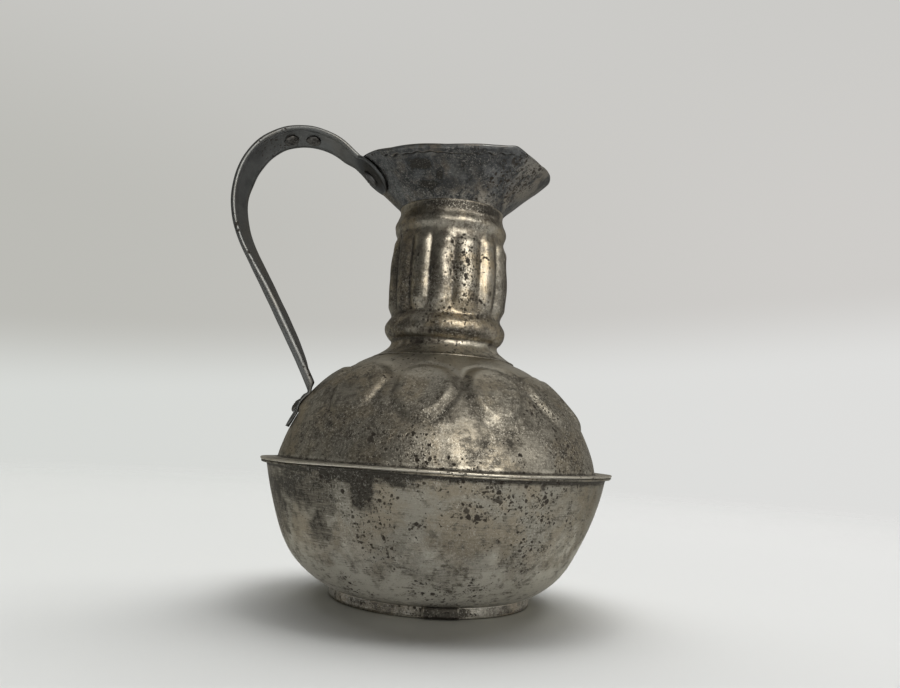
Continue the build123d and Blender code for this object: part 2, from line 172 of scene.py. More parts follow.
def tarnished(
    name, tones, seed, pits=1.0, grit=1.0, streak=1.0, rough=0.4, cloud=0.5, uneven=1.0, glancing=0.40,
    stains_and_painted_shading=(), crowds=(), rubbed_and_painted_light=(), rub_and_painted_light_tone=None,
):
    """Old tinned copper: worn tin, brown clouds, dark pits, black crevices, bright edges.

    tones are the clean, tarnished, warm and bare colours. streak is for brush marks, uneven for
    mottles and bumps, and glancing for how pale the edges get. A stain is a place that stays dark
    or light: some are real stains, others are painted shade and painted light where light falls.
    A crowd is one full of pits, and a rubbed one has the colour rub: some are worn tin, others are
    painted light. Each has its centre and reach in millimetres, and how much.
    """
    clean, dull, warm, bare = tones
    material = bpy.data.materials.new(name)
    t = Tree(material)
    place = t.new("ShaderNodeTexCoord").outputs["Object"]
    here = t.shifted(place, (0.37 * seed, 0.11 * seed, 0.23 * seed))
    grain = t.new("ShaderNodeAttribute", attribute_name="grain").outputs["Vector"]
    bend = t.new("ShaderNodeAttribute", attribute_name="bend").outputs["Fac"]

    # Uneven coordinates, so that no spot is a plain circle
    stir = t.new("ShaderNodeTexNoise", {"Vector": here, "Scale": 520.0, "Detail": 3.0}).outputs["Color"]
    stir = t.scaled(t.shifted(stir, (-0.5, -0.5, -0.5)), (0.0021, 0.0021, 0.0021))
    wavy = t.shifted(here, stir)

    big = t.noise(here, 15.0, 3.0, 0.5)
    cloudy = t.noise(here, 58.0, 6.0, 0.64, 0.4)
    mottle = t.noise(wavy, 250.0, 5.0, 0.70)
    fine = t.noise(here, 900.0, 4.0, 0.80)
    finest = t.noise(wavy, 2100.0, 2.0, 0.7)
    brushed = t.noise(t.scaled(grain, (150.0, 150.0, 2100.0)), 1.0, 3.0, 0.6)

    def near(places):
        """How much each place adds here, fading out unevenly over its reach."""
        total = 0.0
        for centre, reach, amount in places:
            away = t.shifted(place, tuple(-MM * c for c in centre))
            away = t.length(t.scaled(away, tuple(1 / (MM * r) for r in reach)))
            total = t.plus(total, t.span(t.plus(away, t.about(cloudy, 2.2)), 0.35, 1.2, amount, 0.0))
        return total

    def spots(scale, share, reach, crowding):
        """Round spots: the share of cells that have one, and the largest one's reach in cells."""
        cells = t.new("ShaderNodeTexVoronoi", {"Vector": wavy, "Scale": scale, "Randomness": 1.0})
        size = t.new("ShaderNodeSeparateColor", {0: cells.outputs["Color"]}).outputs[1]
        size = t.span(t.plus(size, t.times(crowding, 0.45)), 1.0 - share, 1.35, 0.0, reach)
        return t.span(t.minus(size, cells.outputs["Distance"]), -0.02, 0.07)

    # Brown-black pits: fine ones in clusters, and a few large ones
    crowd = t.span(t.noise(here, 34.0, 4.0, 0.6), 0.40, 0.64, -0.6, 0.9)
    crowd = t.plus(crowd, near(crowds))
    pit = 0.0
    for scale, share, reach, darkness in PITS:
        pit = t.math("MAXIMUM", pit, t.times(spots(scale, share * pits, reach, crowd), darkness))

    # Patina: clouds, mottles, brush marks, dark hollows and bright edges, stains; the stain places also
    # paint shade and light
    tarnish_and_painted_shading = t.plus(t.span(cloudy, 0.38, 0.66, 0.0, cloud), t.span(big, 0.42, 0.62, 0.0, 0.5 * cloud))
    tarnish_and_painted_shading = t.plus(tarnish_and_painted_shading, t.span(mottle, 0.44, 0.66, -0.12 * uneven, 0.40 * uneven))
    tarnish_and_painted_shading = t.plus(tarnish_and_painted_shading, t.about(brushed, 0.8 * streak))
    tarnish_and_painted_shading = t.plus(tarnish_and_painted_shading, t.span(bend, 0.04, 0.40, 0.0, 0.65))
    tarnish_and_painted_shading = t.minus(tarnish_and_painted_shading, t.span(bend, -0.40, -0.05, 0.62, 0.0))
    tarnish_and_painted_shading = t.plus(tarnish_and_painted_shading, near(stains_and_painted_shading), clamp=True)

    # Colour, with bright and dark grit over the patina
    colour = t.mix(t.span(t.noise(here, 44.0, 4.0, 0.62, 0.5), 0.44, 0.62), clean, warm)
    # Worn tin, and painted light on given places, in the rub colour
    if rubbed_and_painted_light:
        colour = t.mix(near(rubbed_and_painted_light), colour, rub_and_painted_light_tone)
    colour = t.mix(t.span(tarnish_and_painted_shading, 0.02, 0.75), colour, dull)
    colour = t.mix(t.span(tarnish_and_painted_shading, 0.75, 1.1), colour, BLACK)
    gritty = t.span(t.noise(here, 46.0, 4.0, 0.6), 0.40, 0.58, 0.30 * grit, grit)
    both = t.plus(t.times(fine, 0.6), t.times(finest, 0.4))
    colour = t.mix(t.times(t.span(both, 0.515, 0.62), t.times(gritty, 0.75)), colour, bare)
    colour = t.mix(t.times(t.span(both, 0.49, 0.39), t.times(gritty, 0.55)), colour, BLACK)
    colour = t.mix(t.times(pit, 0.92), colour, PIT_TONE)

    roughness = t.span(tarnish_and_painted_shading, 0.0, 1.0, rough - 0.05, rough + 0.15)
    roughness = t.plus(roughness, t.about(fine, 0.5))
    roughness = t.plus(roughness, t.times(pit, 0.25), clamp=True)
    metallic = t.times(t.span(tarnish_and_painted_shading, 0.1, 1.0, 1.0, 0.75), t.minus(1.0, t.times(pit, 0.8)))

    high = t.plus(t.times(brushed, 0.35 * streak), t.times(mottle, 1.3))
    high = t.plus(high, t.times(both, 1.1 * grit))
    high = t.plus(high, t.times(cloudy, 2.2))
    high = t.minus(high, t.times(pit, 0.9))
    bump = t.new("ShaderNodeBump", {"Strength": 0.6 * uneven, "Distance": 0.00024, "Height": high})

    shader = t.new(
        "ShaderNodeBsdfPrincipled",
        {
            "Base Color": colour,
            "Metallic": metallic,
            "Roughness": roughness,
            "Normal": bump.outputs[0],
            "Specular IOR Level": 0.35,
            "Specular Tint": (glancing, 0.98 * glancing, 0.94 * glancing),
        },
    )
    t.show(shader.outputs[0], "ShaderNodeOutputMaterial")
    return material


def bell(offsets):
    """Weights of a bell curve at the offsets, which add up to 1."""
    weight = np.exp(-0.5 * offsets**2)
    return weight / weight.sum()


def run_of(line):
    """How far along the line each of its points is."""
    return np.r_[0, np.cumsum(np.hypot(*np.diff(line, axis=0).T))]


def resampled(points, step):
    """The line through the points, cut again at equal steps."""
    points = np.asarray(points, float)
    run = run_of(points)
    count = max(3, int(round(run[-1] / step)) + 1)
    at = np.linspace(0, run[-1], count)
    return np.c_[np.interp(at, run, points[:, 0]), np.interp(at, run, points[:, 1])]


def softened(points, step, reach):
    """The line cut at equal steps, with its corners eased over the reach."""
    line = resampled(points, step)
    half = int(4 * reach / step)
    weight = bell(np.arange(-half, half + 1) * step / reach)
    first, last = line[:1], line[-1:]
    before = 2 * first - line[1 : half + 1][::-1]
    after = 2 * last - line[-half - 1 : -1][::-1]
    longer = np.r_[before, line, after]
    return np.c_[np.convolve(longer[:, 0], weight, "valid"), np.convolve(longer[:, 1], weight, "valid")]


def arc(centre, radius, start, stop, step=0.4):
    count = max(3, int(abs(math.radians(stop - start)) * radius / step) + 1)
    turn = np.radians(np.linspace(start, stop, count))
    return np.c_[centre[0] + radius * np.cos(turn), centre[1] + radius * np.sin(turn)]


def on_circle(centre, radius, angle):
    return (centre[0] + radius * math.cos(angle), centre[1] + radius * math.sin(angle))


def waves(seed, count, rounds, spread):
    """Slow unevenness of a hand-made surface: a fixed sum of waves round and along it."""
    draw = np.random.default_rng(seed)
    terms = [
        (
            int(draw.integers(0, rounds + 1)),
            draw.uniform(-1, 1) / spread * 2 * math.pi,
            draw.uniform(0, 2 * math.pi),
            draw.normal(),
        )
        for _ in range(count)
    ]
    size = math.sqrt(sum(term[3] ** 2 for term in terms) / 2)

    def height(turn, run):
        total = 0
        for around, along, phase, amount in terms:
            total = total + amount * np.cos(around * turn + along * run + phase)
        return total / size

    return height


def hand_made(turn, run, *rows):
    """Sum of waves over a grid of turn and run: each row is an amount and what waves asks for."""
    return sum(amount * waves(*row)(turn[:, None], run) for amount, *row in rows)


def smoothstep(low, high, value):
    part = np.clip((value - low) / (high - low), 0, 1)
    return part * part * (3 - 2 * part)


def curvature(mesh, rounds=5):
    """For each vertex: how hollow (above 0) or raised (below 0) the surface is, per millimetre."""
    count = len(mesh.vertices)
    place = np.empty(count * 3)
    mesh.vertices.foreach_get("co", place)
    place = place.reshape(-1, 3) / MM
    normal = np.empty(count * 3)
    mesh.vertex_normals.foreach_get("vector", normal)
    normal = normal.reshape(-1, 3)
    ends = np.empty(len(mesh.edges) * 2, np.int32)
    mesh.edges.foreach_get("vertices", ends)
    a, b = ends.reshape(-1, 2).T
    step = place[b] - place[a]
    long = np.maximum((step**2).sum(1), 1e-4)
    total = np.bincount(a, (step * normal[a]).sum(1) / long, count)
    total += np.bincount(b, -(step * normal[b]).sum(1) / long, count)
    links = np.maximum(np.bincount(a, minlength=count) + np.bincount(b, minlength=count), 1)
    bend = np.clip(2 * total / links, -3, 3)
    for _ in range(rounds):
        bend = 0.5 * bend + 0.5 * (np.bincount(a, bend[b], count) + np.bincount(b, bend[a], count)) / links
    return bend


def make_piece(name, parts, node, material):
    """One object of one or more closed skins: each has its points, its faces and its grain."""
    points, faces, grains, base = [], [], [], 0
    for skin_points, skin_faces, grain in parts:
        points.append(skin_points)
        faces.append(skin_faces + base)
        grains.append(grain)
        base += len(skin_points)
    points, faces, grains = np.concatenate(points), np.concatenate(faces), np.concatenate(grains)
    mesh = bpy.data.meshes.new(name)
    mesh.from_pydata((points * MM).tolist(), [], faces.tolist())
    layer = mesh.attributes.new("grain", "FLOAT_VECTOR", "POINT")
    layer.data.foreach_set("vector", (grains * MM).ravel().astype(np.float32))
    work = bmesh.new()
    work.from_mesh(mesh)
    bmesh.ops.remove_doubles(work, verts=work.verts, dist=1e-7)
    bmesh.ops.recalc_face_normals(work, faces=work.faces)
    work.to_mesh(mesh)
    work.free()
    mesh.shade_smooth()
    bend = mesh.attributes.new("bend", "FLOAT", "POINT")
    bend.data.foreach_set("value", curvature(mesh).astype(np.float32))
    mesh.materials.append(material)
    piece = new_object(name, mesh)
    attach(piece, "root")
    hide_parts(node)


def turned(radius, turn, height):
    """Places round the jug's axis."""
    return np.stack(np.broadcast_arrays(radius * np.cos(turn), radius * np.sin(turn), height), -1)


def wrapped(turn):
    """The same turn between minus and plus half a round."""
    return (turn + math.pi) % (2 * math.pi) - math.pi


def ring_faces(rows, columns, close_columns=True):
    """Quads of a grid whose rows close on themselves, and whose columns may."""
    row = np.arange(rows)[:, None]
    column = np.arange(columns if close_columns else columns - 1)[None, :]
    next_row = (row + 1) % rows
    next_column = (column + 1) % columns
    corners = (
        row * columns + column,
        row * columns + next_column,
        next_row * columns + next_column,
        next_row * columns + column,
    )
    return np.stack([np.broadcast_to(c, (rows, column.size)) for c in corners], -1).reshape(-1, 4)


def turned_skin(radius, height, turn, thick, inner_every=3, from_axis=False, outside=None, cap=0.35):
    """Sheet turned about the axis, from radius and height grids of its outside (turn by step).

    The inner skin has one step for every few of the outer one. outside is extra thickness on
    the outside only, which the inner skin doesn't follow. Both ends are rounded over by the
    cap, apart from a first end on the axis.
    """
    tangent_r, tangent_z = np.gradient(radius, axis=1), np.gradient(height, axis=1)
    long = np.hypot(tangent_r, tangent_z)
    out_r, out_z = tangent_z / long, -tangent_r / long
    outer_r, outer_z = radius, height
    if outside is not None:
        outer_r, outer_z = radius + out_r * outside, height + out_z * outside
    columns = radius.shape[1]
    keep = np.unique(np.r_[0, np.arange(0, columns - 1, inner_every), columns - 1])
    inner_r = np.maximum((radius - thick * out_r)[:, keep], 0)
    inner_z = (height - thick * out_z)[:, keep]
    if from_axis:
        inner_r[:, 0] = 0

    def rounded(end, sign):
        parts = ((outer_r, inner_r, tangent_r), (outer_z, inner_z, tangent_z))
        return [
            np.stack(
                [
                    (outer[:, end] + inner[:, end]) / 2
                    + (outer[:, end] - inner[:, end]) / 2 * math.sin(a)
                    + sign * tangent[:, end] / long[:, end] * cap * math.cos(a)
                    for a in sign * np.radians([60, 25, -25, -60])
                ],
                1,
            )
            for outer, inner, tangent in parts
        ]

    blocks = [(outer_r, outer_z), rounded(-1, 1), (inner_r[:, ::-1], inner_z[:, ::-1])]
    if not from_axis:
        blocks.append(rounded(0, -1))
    all_r, all_z = (np.concatenate(grids, 1) for grids in zip(*blocks))
    points = turned(all_r, turn[:, None], all_z)
    grain = points.copy()
    grain[..., 2] = run_of(np.c_[all_r[0], all_z[0]])
    faces = ring_faces(len(turn), all_r.shape[1], close_columns=not from_axis)
    return points.reshape(-1, 3), faces, grain.reshape(-1, 3)


def turn_grid(count):
    return np.arange(count) * 2 * math.pi / count


def along_normal(profile, relief):
    """Radius and height grids of a profile, moved along its outward normal by the relief."""
    tangent = np.gradient(profile, axis=0)
    long = np.hypot(*tangent.T)
    return profile[:, 0] + relief * tangent[:, 1] / long, profile[:, 1] - relief * tangent[:, 0] / long


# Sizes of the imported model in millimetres: the sheet and the solder between two sheets, the
# flanges, the bowl's two arcs, the dome's arc, the neck, and the mouth's cone
SHEET, TIN = 1.0, 0.2
SEAM, FLANGE = 61.5, 84.6
HAUNCH_CENTRE, HAUNCH_ARC, HAUNCH_SLOPE = (31.0, 43.5), 42.4, 29.0
WALL_ARC = 125.6
WALL_CENTRE = on_circle(HAUNCH_CENTRE, HAUNCH_ARC - WALL_ARC, -math.radians(HAUNCH_SLOPE))
DOME_CENTRE, DOME_ARC = (10.8, 50.85), 67.0
DOME_OPENING, FLARE = 26.0, 35.6
NECK_FOOT = DOME_CENTRE[1] + math.sqrt(DOME_ARC**2 - (FLARE - DOME_CENTRE[0]) ** 2)
NECK_TOP = NECK_FOOT + 77.4
THROAT = 25.6
CONE = 42.1
COS, SIN = math.cos(math.radians(CONE)), math.sin(math.radians(CONE))

flange_wave = waves(11, 7, 9, 40.0)
flange_nicks = waves(13, 60, 9, 7.0)


def flange_lift(turn, radius):
    """Both flanges wave up and down a little together towards their edge."""
    edge = smoothstep(79.0, 84.5, radius)
    return (0.22 * flange_wave(turn, 0) + 0.07 * flange_nicks(turn, 0)) * edge


BOWL_BASE, BASE_HEIGHT = 46.6, 2.0  # the flat base's radius and height
BOWL_EDGE, DOME_EDGE = FLANGE - 0.85, FLANGE - 0.35  # where each flange's rounded edge starts


def bowl_skin():
    low = -math.degrees(math.acos((BOWL_BASE - HAUNCH_CENTRE[0]) / HAUNCH_ARC))
    under = SEAM - TIN / 2 - SHEET
    high = -math.degrees(math.asin((WALL_CENTRE[1] - under) / WALL_ARC))
    line = np.concatenate(
        [
            [(0, BASE_HEIGHT)],
            arc(HAUNCH_CENTRE, HAUNCH_ARC, low, -HAUNCH_SLOPE),
            arc(WALL_CENTRE, WALL_ARC, -HAUNCH_SLOPE, high),
            [(BOWL_EDGE, under)],
        ]
    )
    profile = softened(line, 0.7, 0.7)
    profile[0] = (0, BASE_HEIGHT)
    turn = turn_grid(400)
    run = run_of(profile)
    fade = smoothstep(30, 62, run) * (1 - smoothstep(run[-1] - 10, run[-1] - 4, run))
    relief = hand_made(turn, run, (0.16, 3, 26, 7, 70.0), (0.07, 5, 40, 22, 26.0)) * fade
    # The haunch is fuller on the handle's side
    fuller = np.maximum(np.cos(turn - math.radians(167.5)), 0)[:, None]
    relief = relief + 1.35 * fuller * np.exp(-(((profile[None, :, 1] - 26) / 13) ** 2)) * fade
    radius, height = along_normal(profile, relief)
    height = height + flange_lift(turn[:, None], radius)
    return turned_skin(radius, height, turn, SHEET, from_axis=True)


# Number of medallions, turn of the first in degrees, and how far up the dome's arc they are
MEDALLIONS, MEDALLION_TURN, MEDALLION_SLOPE = 12, 11, math.radians(42.5)


def medallion_relief(turn, angle):
    """Oval bosses hammered up round the shoulder by eye: soft sides, sunk middles, uneven grooves."""
    draw = np.random.default_rng(17)
    total = 0
    for k in range(MEDALLIONS):
        centre = math.radians(MEDALLION_TURN + 360 // MEDALLIONS * k + draw.uniform(-0.5, 0.5))
        away = wrapped(turn - centre)
        side = away * (DOME_CENTRE[0] + DOME_ARC * np.cos(angle))
        up = (angle - MEDALLION_SLOPE) * DOME_ARC
        tilt = math.radians(draw.uniform(-7, 7))
        a = side * math.cos(tilt) + up * math.sin(tilt)
        b = up * math.cos(tilt) - side * math.sin(tilt)
        wide = 14.0 + draw.uniform(-0.5, 0.5)
        tall = 17.8 + draw.uniform(-0.8, 0.6)
        rho = np.sqrt((a / wide) ** 2 + (b / tall) ** 2 + 1e-9)
        bearing = np.arctan2(b, a)
        first, second, third, heavy = draw.uniform(0, 2 * math.pi, 4)
        rho = rho * (
            1
            + 0.035 * np.cos(2 * bearing + first)
            + 0.028 * np.cos(3 * bearing + second)
            + 0.018 * np.cos(5 * bearing + third)
        )
        boss = (1.6 + draw.uniform(-0.15, 0.15)) * (1 - smoothstep(0.71, 1.0, rho))
        dish = -0.60 * (1 - smoothstep(0.25, 0.72, rho))
        deep = 0.34 + 0.24 * np.cos(bearing - heavy)
        groove = -deep * np.exp(-(((rho - 1.04) / 0.09) ** 2))
        total = total + boss + dish + groove
    return total


def dome_skin():
    top = SEAM + TIN / 2 + SHEET
    foot = math.degrees(math.asin((top - DOME_CENTRE[1]) / DOME_ARC))
    crest = math.degrees(math.acos((DOME_OPENING - DOME_CENTRE[0]) / DOME_ARC))
    line = np.concatenate([[(DOME_EDGE, top)], arc(DOME_CENTRE, DOME_ARC, foot, crest)])
    profile = softened(line, 0.45, 0.55)
    turn = turn_grid(760)
    run = run_of(profile)
    angle = np.arctan2(profile[:, 1] - DOME_CENTRE[1], profile[:, 0] - DOME_CENTRE[0])
    on_dome = smoothstep(9, 15, run)
    relief = hand_made(turn, run, (0.16, 7, 26, 8, 60.0), (0.10, 9, 40, 26, 22.0)) * on_dome
    relief = relief * (1 - smoothstep(run[-1] - 12, run[-1] - 8, run))
    relief = relief + medallion_relief(turn[:, None], angle[None, :]) * on_dome
    radius, height = along_normal(profile, relief)
    height = height + flange_lift(turn[:, None], radius)
    return turned_skin(radius, height, turn, SHEET)


def eased(points, starts, step=0.35):
    """Smooth line through the points, with a slope given at both ends, by cubic pieces."""
    points = np.asarray(points, float)
    long = np.hypot(*np.diff(points, axis=0).T)
    slopes = np.empty_like(points)
    slopes[1:-1] = (points[2:] - points[:-2]) / (long[1:] + long[:-1])[:, None]
    slopes[0], slopes[-1] = starts
    pieces = []
    for i, length in enumerate(long):
        t = np.linspace(0, 1, max(3, int(length / step)) + 1)[:-1, None]
        pieces.append(
            (2 * t**3 - 3 * t**2 + 1) * points[i]
            + (t**3 - 2 * t**2 + t) * length * slopes[i]
            + (3 * t**2 - 2 * t**3) * points[i + 1]
            + (t**3 - t**2) * length * slopes[i + 1]
        )
    return np.concatenate(pieces + [points[-1:]])


# Turn of the valleys between the flutes in degrees: five uneven ones in front, the rest even
VALLEYS = (-142.2, -120.5, -97.4, -69.5, -47.0, *(-47.0 + 264.8 / 12 * k for k in range(1, 13)))


def flute_relief(turn, height):
    """Upright tongues between the two beads, soft and uneven as hammered ones are."""
    draw = np.random.default_rng(23)
    total = 0
    for left, right in zip(VALLEYS, VALLEYS[1:]):
        centre = math.radians((left + right) / 2)
        lean = math.radians(draw.uniform(-1.0, 1.0))
        up = (height - NECK_FOOT - 43.3) / 20.5
        away = wrapped(turn - centre - lean * up)
        wide = math.radians((right - left) / 2) * 0.97
        low, high = 22.2 + draw.uniform(-0.7, 0.7), 62.2 + draw.uniform(-0.8, 0.8)
        end = np.minimum(height - NECK_FOOT - low, high - (height - NECK_FOOT))
        reach = wide * (0.35 + 0.65 * np.sqrt(np.clip(1 - (1 - np.clip(end / 7.0, 0, 1)) ** 2, 0, 1)))
        across = np.clip(1 - (away / reach) ** 2, 0, 1)
        across = across ** (0.85 + draw.uniform(-0.10, 0.15))
        total = np.maximum(total, (2.15 + draw.uniform(-0.25, 0.20)) * across * smoothstep(-0.5, 6.0, end))
    for _ in range(14):
        total = 0.5 * total + 0.25 * (np.roll(total, 1, axis=0) + np.roll(total, -1, axis=0))
    return total


# Solder's fillet where neck and mouth meet: thickness and run
FILLET, FILLET_RUN = 0.8, 5.5
# Radius and height over its foot of the neck's line: flare, low bead, core, collar bead, top
NECK_LINE = (
    (31.0, 3.1), (27.3, 6.3), (26.6, 8.9), (28.3, 10.6), (29.9, 13.6), (29.9, 16.8), (28.3, 19.6),
    (27.0, 21.8), (27.2, 43.0), (27.1, 62.2), (28.4, 66.9), (26.8, 71.4), (25.7, 77.0),
)  # fmt: skip


def neck_skin():
    flare = (FLARE - 0.25, NECK_FOOT + TIN + 0.42)
    line = eased([flare, *((r, NECK_FOOT + high) for r, high in NECK_LINE)], ((-0.93, 0.37), (0, 1)))
    profile = softened(line, 0.4, 0.45)
    turn = turn_grid(640)
    run = run_of(profile)
    fade = smoothstep(0, 8, run) * (1 - smoothstep(run[-1] - 6, run[-1] - 2, run))
    relief = hand_made(turn, run, (0.16, 13, 24, 6, 40.0), (0.11, 15, 40, 20, 16.0)) * fade
    relief = relief + flute_relief(turn[:, None], profile[None, :, 1])
    barrel = 0.55 * np.exp(-(((profile[:, 1] - NECK_FOOT - 38) / 15) ** 2))
    radius, height = along_normal(profile, relief + barrel)
    thick = SHEET - 0.68 * (1 - smoothstep(0, 5, run))
    fillet = FILLET * np.clip(1 - (run[-1] - run) / FILLET_RUN, 0, 1) ** 2
    outside = np.broadcast_to(fillet, radius.shape)
    return turned_skin(radius, height, turn, thick, outside=outside, cap=0.15)


# Height of the rim by the angle from the pouring lip, near side negative, in degrees
RIM = (
    (-180, 212.6), (-165, 211.6), (-152, 210.8), (-143, 210.0), (-125, 209.7), (-107, 209.3),
    (-94, 210.0), (-80, 210.9), (-72, 211.7), (-67.5, 212.7), (-63, 212.2), (-56, 211.4), (-40, 210.6),
    (-20, 212.0), (-6, 212.2), (8, 211.0), (25, 210.3), (50, 211.0), (70, 211.5), (90, 210.3),
    (107, 209.5), (130, 209.7), (150, 210.5), (165, 211.6), (180, 212.6),
)  # fmt: skip


def periodic(table, degrees):
    """Value of a table round the jug, smoothly between its entries."""
    fine = np.arange(-180, 180, 1.0)
    level = np.interp(fine, *zip(*table))
    level = np.convolve(np.r_[level[-9:], level, level[:9]], bell(np.arange(-9, 10) / 1.5), "valid")
    return np.interp(degrees, np.r_[fine, 180], np.r_[level, level[0]])


# Width of the hem folded over the rim, and how much of its thickness shows, by the same angle
HEM = (
    (-180, 0.9), (-160, 0.9), (-153, 0.9), (-151, 3.0), (-145, 3.3), (-120, 3.4), (-108, 3.6),
    (-96, 4.2), (-85, 3.7), (-77, 4.1), (-70, 3.6), (-60, 3.2), (-40, 3.4), (-10, 4.0), (10, 3.8),
    (60, 3.3), (100, 3.6), (150, 3.3), (153, 0.9), (180, 0.9),
)  # fmt: skip
PRESSED = (
    (-180, 0), (-154, 0), (-150, 1), (-84, 1), (-70, 0.5), (-60, 0.1), (18, 0.1), (30, 1), (150, 1),
    (154, 0), (180, 0),
)  # fmt: skip
# The lip's bulges and its hollow: turn in degrees and depth in millimetres
LIP = ((-9, 1.1), (18, -1.3), (-36, 1.1))
# Radius and height below the neck's top of the collar inside the neck
COLLAR = ((24.4, 4.4), (24.4, 2.2), (24.45, 0.4))


def mouth_skin():
    turn = turn_grid(720)
    degrees = (np.degrees(turn) + 180) % 360 - 180
    cap = 0.4
    length = (periodic(RIM, degrees) - cap - NECK_TOP) / SIN
    along = length[:, None] * np.linspace(0, 1, 92)[None, :]
    uneven = hand_made(turn, along, (0.14, 33, 22, 6, 30.0), (0.07, 35, 40, 24, 14.0))
    uneven = uneven * smoothstep(0.5, 8, along)
    lip = sum(deep * np.exp(-(((degrees - centre) / 11) ** 2)) for centre, deep in LIP)
    lip = lip[:, None] * smoothstep(10, 29, along)
    radius = THROAT + along * COS + (uneven + lip) * SIN
    height = NECK_TOP + along * SIN - uneven * COS
    wide = np.interp(degrees, *zip(*HEM)) + 0.36 * waves(31, 16, 60, 9.0)(turn, 0) * (np.abs(degrees) < 150)
    past_hem = (length[:, None] - along) - wide[:, None]
    pressed = np.interp(degrees, *zip(*PRESSED))
    hem = smoothstep(0.30, -0.25, past_hem)
    crack = -0.28 * np.exp(-(((past_hem - 0.42) / 0.3) ** 2))
    worn = 1 - 0.35 * np.exp(-(((length[:, None] - along) / 0.5) ** 2))
    outside = (hem * SHEET * worn + crack) * pressed[:, None]
    outside = outside + FILLET * np.clip(1 - along / FILLET_RUN, 0, 1) ** 2
    collar_r, collar_down = np.array(COLLAR).T
    collar = np.ones((len(turn), 1))
    radius = np.concatenate([collar * collar_r, radius], 1)
    height = np.concatenate([collar * (NECK_TOP - collar_down), height], 1)
    outside = np.concatenate([np.zeros((len(turn), len(COLLAR))), outside], 1)
    return turned_skin(radius, height, turn, SHEET, inner_every=2, outside=outside, cap=cap)


def foot_skins():
    """The strip's ring, and its lapped end on the outside."""
    parts = []
    turn = turn_grid(360)
    line = softened([(47.9, 0.25), (48.0, 2.4), (47.7, 4.9)], 0.35, 0.3)
    radius, height = along_normal(line, hand_made(turn, run_of(line), (0.10, 41, 14, 12, 20.0)))
    parts.append(turned_skin(radius, height, turn, 1.15, inner_every=2, cap=0.25))
    start, stop = math.radians(-105), math.radians(-86)
    turn = np.linspace(start, stop, 60)
    line = np.array([(47.0, 0.3), (48.9, 0.25), (49.05, 1.2), (49.1, 3.0), (48.95, 4.6), (47.0, 4.8)])
    ends = smoothstep(0, 0.012, np.minimum(turn - start, stop - turn))[:, None]
    points = turned(line[:, 0] - 0.25 * (1 - ends), turn[:, None], line[:, 1]).reshape(-1, 3)
    last_row = (len(turn) - 1) * len(line)
    faces = ring_faces(len(turn), len(line))[:last_row]
    lid = np.array([[0, 1, 4, 5], [1, 2, 3, 4]])
    parts.append((points, np.concatenate([faces, lid, last_row + lid]), points))
    return parts


# Handle: radii of its three arcs, its lean along the stay, how far it rises over the neck, where
# the bow starts, the strap's width, thickness and roll, and the run of its pad on the dome
CROWN, BOW, GRIP, LEAN = 32.6, 44.9, 52.0, math.radians(29.4)
RISE = 33.5
BOW_START = math.radians(28.6)
STRAP, WEB, ROLL_R = 16.5, 1.6, 1.25
PAD_REACH, PAD_LENGTH = DOME_ARC + TIN + WEB, 18.6
# The leaf on the mouth's wall: run of its tip and centre up the wall, its reach along it and to
# both sides, and the reach of the pad's rounded end
LEAF_TIP, LEAF_CENTRE, LEAF_LONG = 12.0, 24.0, 12.0
NEAR_LEAF, FAR_LEAF, PAD_ROUND = 12.2, 11.2, 5.0


def wall_place(along, out):
    """A place in the handle's plane, that far up the mouth's wall and out from it."""
    return -(THROAT + along * COS + out * SIN), NECK_TOP + along * SIN - out * COS


wall_foot = wall_place(0, TIN)
crown_z = NECK_TOP + RISE - CROWN
crown_centre = (wall_foot[0] - (CROWN + (crown_z - wall_foot[1]) * COS) / SIN, crown_z)
bow_centre = on_circle(crown_centre, BOW - CROWN, -BOW_START)
grip_centre = (bow_centre[0] + GRIP - BOW, bow_centre[1])
grip_end = on_circle(grip_centre, -GRIP, LEAN)
# The stay runs from the grip's end to the corner, where its line meets the dome
side = -grip_end[0] - DOME_CENTRE[0]
up = grip_end[1] - DOME_CENTRE[1]
half = side * math.sin(LEAN) + up * math.cos(LEAN)
stay = half - math.sqrt(half**2 - side**2 - up**2 + PAD_REACH**2)
corner = (-DOME_CENTRE[0] - side + stay * math.sin(LEAN), DOME_CENTRE[1] + up - stay * math.cos(LEAN))
corner_slope = math.atan2(corner[1] - DOME_CENTRE[1], -corner[0] - DOME_CENTRE[0])


def strap_path():
    """The strap's outer face in the plane of the handle, from the leaf's tip to the pad's end."""
    crown_angle = 90 - CONE
    crown_start = on_circle(crown_centre, CROWN, math.radians(crown_angle))
    pad = arc(
        (-DOME_CENTRE[0], DOME_CENTRE[1]),
        PAD_REACH,
        180 - math.degrees(corner_slope),
        180 - math.degrees(corner_slope - PAD_LENGTH / PAD_REACH),
    )
    line = np.concatenate(
        [
            [wall_place(LEAF_TIP, TIN), crown_start],
            arc(crown_centre, CROWN, crown_angle, 180 - math.degrees(BOW_START)),
            arc(bow_centre, BOW, 180 - math.degrees(BOW_START), 180),
            arc(grip_centre, GRIP, 180, 180 + math.degrees(LEAN)),
            [grip_end],
            pad,
        ]
    )
    return softened(line, 0.55, 1.2)


# How far the strap is twisted towards the viewer, in degrees, along its run
TWIST = (
    (0, 0), (16, 0), (24, 8), (32, 11), (40, 13), (48, 17), (56, 19), (64, 22), (72, 25), (80, 28),
    (88, 27), (96, 26.5), (104, 24), (112, 22.5), (120, 24), (136, 22), (152, 23), (168, 23.5),
    (184, 22.5), (196, 19), (204, 11), (211, 0), (230, 0),
)  # fmt: skip


def strap_twist(run):
    """The twist in radians, eased between the table's entries."""
    fine = np.arange(0, 230, 1.0)
    level = np.r_[np.zeros(8), np.interp(fine, *zip(*TWIST)), np.zeros(8)]
    level = np.convolve(level, bell(np.arange(-8, 9) / 3), "valid")
    return np.radians(np.interp(run, fine, level))


